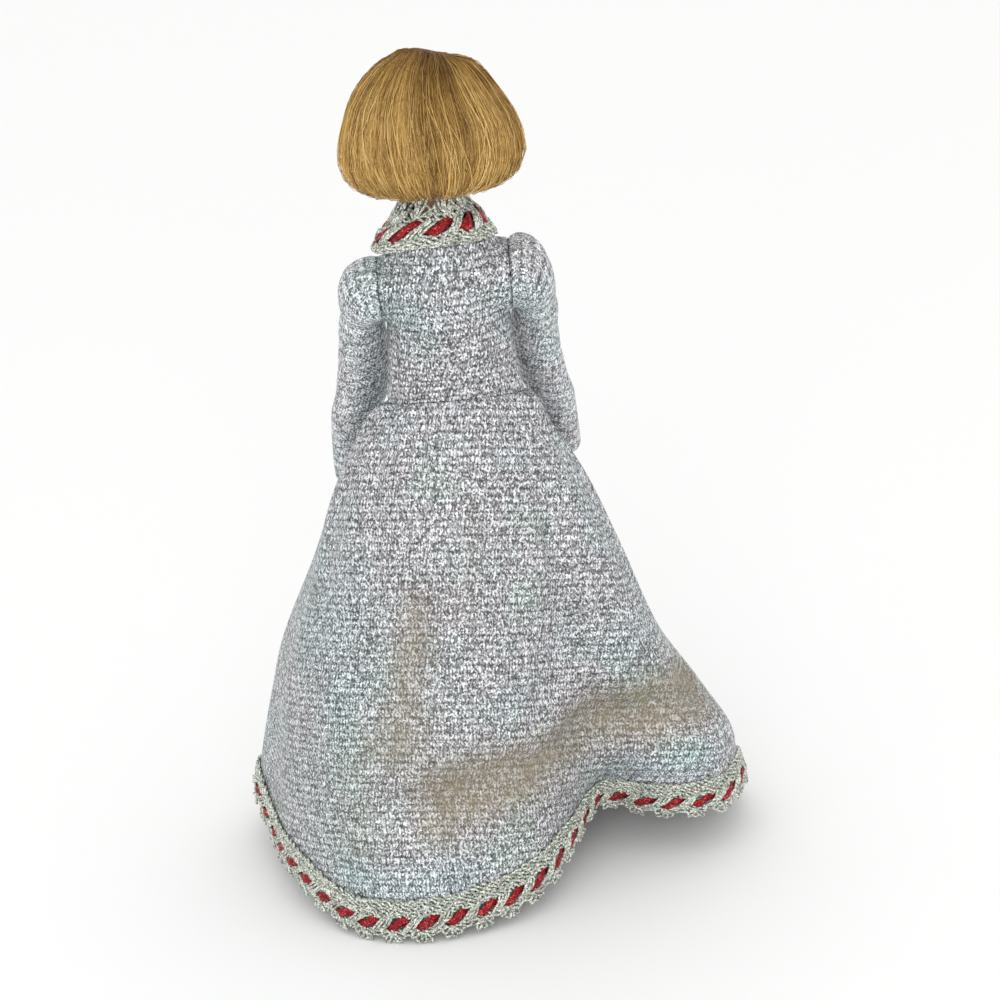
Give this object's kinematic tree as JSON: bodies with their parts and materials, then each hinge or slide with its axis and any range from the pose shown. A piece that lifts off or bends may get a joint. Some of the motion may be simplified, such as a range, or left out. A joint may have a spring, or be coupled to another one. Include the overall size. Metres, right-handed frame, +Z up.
{
  "type": "fashion doll",
  "caption": "Standing fashion doll with bobbed hair in a long silver knitted gown, edged with crocheted lace and threaded ribbon; the head turns, and the arms and legs swing.",
  "frame": {"origin": "on the floor under the middle of the spread hem", "axes": "+Z up along the standing doll, the doll faces -Y, the doll's left is +X"},
  "size_m": [0.179, 0.1274, 0.292],
  "materials": {
    "vinyl_skin": "soft satin vinyl",
    "hair_fibre": "glossy blonde fibre",
    "silver_knit": "metallic yarn, ribbed knit with glitter",
    "lace_thread": "crocheted silver-grey thread",
    "red_ribbon": "shiny woven ribbon",
    "shoe_vinyl": "moulded gloss"
  },
  "bodies": {
    "torso": {"torso_front": "vinyl_skin", "torso_back": "vinyl_skin", "neck_post": "vinyl_skin", "bodice": "silver_knit", "collar_lace": "lace_thread", "collar_ribbon": "red_ribbon", "skirt": "silver_knit", "hem_lace": "lace_thread", "hem_ribbon": "red_ribbon"},
    "head": {"head": "vinyl_skin", "hair": "hair_fibre"},
    "left_arm": {"left_arm": "vinyl_skin", "left_sleeve": "silver_knit"},
    "right_arm": {"right_arm": "vinyl_skin", "right_sleeve": "silver_knit"},
    "left_leg": {"left_leg": "vinyl_skin", "left_shoe": "shoe_vinyl"},
    "right_leg": {"right_leg": "vinyl_skin", "right_shoe": "shoe_vinyl"}
  },
  "joints": [
    {"name": "head_turn", "type": "hinge", "parent": "torso", "child": "head", "pos_m": [0.00081, 0.02177, 0.255], "axis": [0, 0, 1], "range_deg": [-85, 85]},
    {"name": "left_shoulder", "type": "hinge", "parent": "torso", "child": "left_arm", "pos_m": [0.02131, 0.02177, 0.2195], "axis": [-1, 0, 0], "range_deg": [-2, 115]},
    {"name": "right_shoulder", "type": "hinge", "parent": "torso", "child": "right_arm", "pos_m": [-0.01969, 0.02177, 0.2195], "axis": [-1, 0, 0], "range_deg": [-2, 115]},
    {"name": "left_hip", "type": "hinge", "parent": "torso", "child": "left_leg", "pos_m": [0.01041, 0.02277, 0.16], "axis": [-1, 0, 0], "range_deg": [-3, 15]},
    {"name": "right_hip", "type": "hinge", "parent": "torso", "child": "right_leg", "pos_m": [-0.00879, 0.02277, 0.16], "axis": [-1, 0, 0], "range_deg": [-3, 15]}
  ]
}
